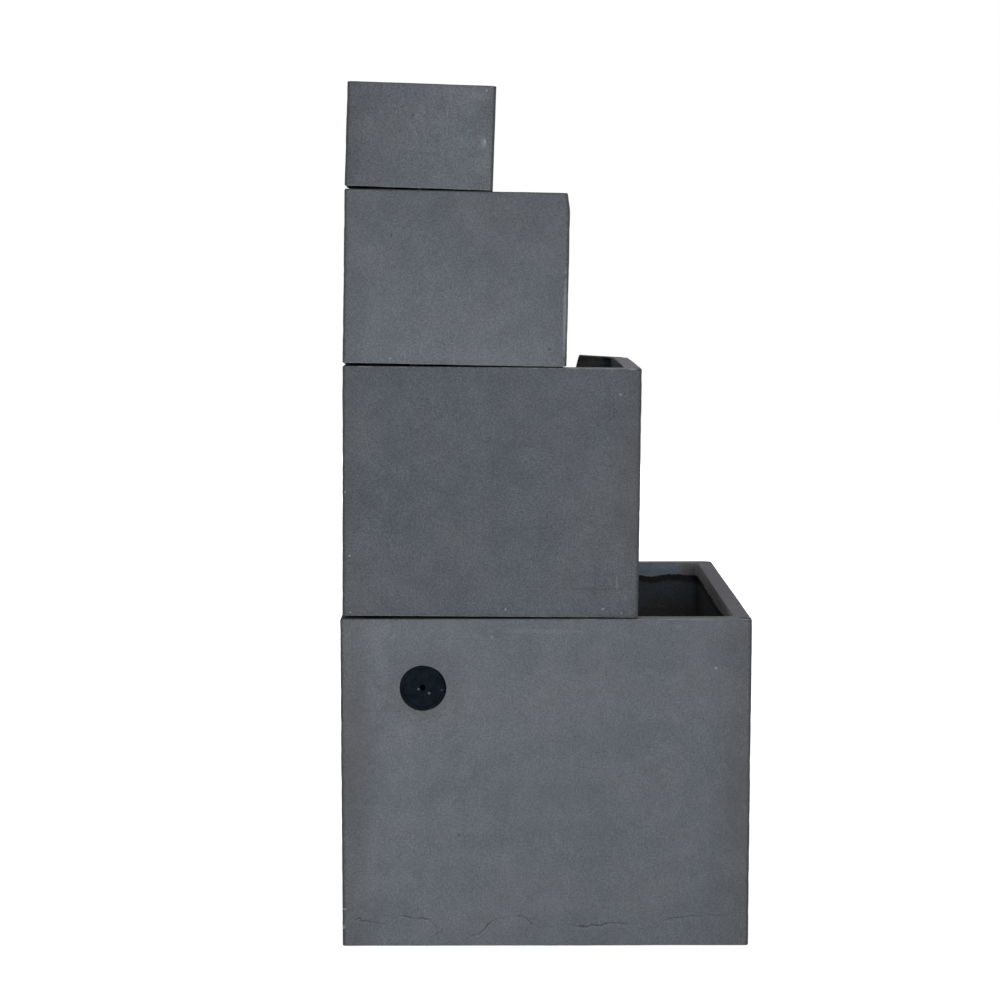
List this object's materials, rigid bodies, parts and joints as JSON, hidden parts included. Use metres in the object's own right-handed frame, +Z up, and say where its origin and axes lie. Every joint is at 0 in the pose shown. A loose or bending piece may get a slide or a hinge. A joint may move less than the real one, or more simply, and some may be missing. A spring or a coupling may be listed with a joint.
{
  "type": "tiered fountain",
  "caption": "Square cement basins of falling size stacked flush at one corner, each spilling into the wider one below, with a submersible pump and riser hose inside.",
  "frame": {"origin": "middle of the base's footprint, on the ground", "axes": "+Z up; +X to the right when looking at the near face, towards the stepped side; -Y out of the near face with the cable port, +Y towards the spill notches"},
  "size_m": [0.476, 0.476, 0.9999],
  "materials": {
    "cement": "matte dark grey fibre cement, mottled, with worn edges; black waterproof coat inside",
    "black_rubber": "matte black",
    "pump_plastic": "moulded, fine texture",
    "dial_plastic": "moulded grey",
    "hose_vinyl": "soft vinyl, slightly glossy",
    "clamp_steel": "stainless band",
    "core_steel": "laminated",
    "coil_copper": "enamelled winding",
    "shaft_ceramic": "ground",
    "magnet": "sintered",
    "impeller_plastic": "moulded",
    "filter_foam": "open-cell foam"
  },
  "bodies": {
    "base": {"base_basin": "cement", "seat_panel_right": "cement", "seat_panel_far": "cement", "pads_on_base": "black_rubber", "riser_hose": "hose_vinyl", "hose_clamp": "clamp_steel", "hose_clamp_screw": "clamp_steel", "pump_outlet_adapter": "pump_plastic", "pump_housing": "pump_plastic", "pump_back_plate": "pump_plastic", "pump_stator_core": "core_steel", "pump_stator_coil": "coil_copper", "pump_bush_rear": "black_rubber", "pump_bush_front": "black_rubber", "pump_shaft": "shaft_ceramic", "pump_volute": "pump_plastic", "pump_seal_ring": "black_rubber", "pump_suction_cups": "black_rubber", "pump_cable_gland": "black_rubber"},
    "bung": {"cable_bung": "black_rubber"},
    "third_tier": {"tier_three": "cement", "hose_grommet_three": "black_rubber", "pads_on_three": "black_rubber"},
    "second_tier": {"tier_two": "cement", "hose_grommet_two": "black_rubber", "pads_on_two": "black_rubber"},
    "highest_tier": {"top_tier": "cement", "outlet_fitting": "pump_plastic", "outlet_gasket": "black_rubber", "outlet_washer": "black_rubber", "outlet_nut": "pump_plastic"},
    "rotor": {"pump_rotor_magnet": "magnet", "pump_impeller": "impeller_plastic"},
    "flow_dial": {"pump_flow_dial": "dial_plastic"},
    "pump_cover": {"pump_front_cover": "pump_plastic", "pump_filter_foam": "filter_foam"}
  },
  "joints": [
    {"name": "tier_three_lift", "type": "slide", "parent": "base", "child": "third_tier", "axis": [0.0349, 0, 0.9994], "range_m": [0, 0.56]},
    {"name": "tier_two_lift", "type": "slide", "parent": "third_tier", "child": "second_tier", "axis": [0.0349, 0, 0.9994], "range_m": [0, 0.26]},
    {"name": "top_tier_lift", "type": "slide", "parent": "second_tier", "child": "highest_tier", "axis": [0.0349, 0, 0.9994], "range_m": [0, 0.06]},
    {"name": "bung_pull", "type": "slide", "parent": "base", "child": "bung", "axis": [0, -1, 0], "range_m": [0, 0.04]},
    {"name": "impeller_spin", "type": "hinge", "parent": "base", "child": "rotor", "pos_m": [-0.16884, -0.148, 0.073], "axis": [0, 1, 0], "continuous": true},
    {"name": "flow_dial_turn", "type": "hinge", "parent": "base", "child": "flow_dial", "pos_m": [-0.16884, -0.148, 0.073], "axis": [0, -1, 0], "range_deg": [0, 40]},
    {"name": "cover_pull", "type": "slide", "parent": "base", "child": "pump_cover", "axis": [0, 1, 0], "range_m": [0, 0.05]}
  ]
}
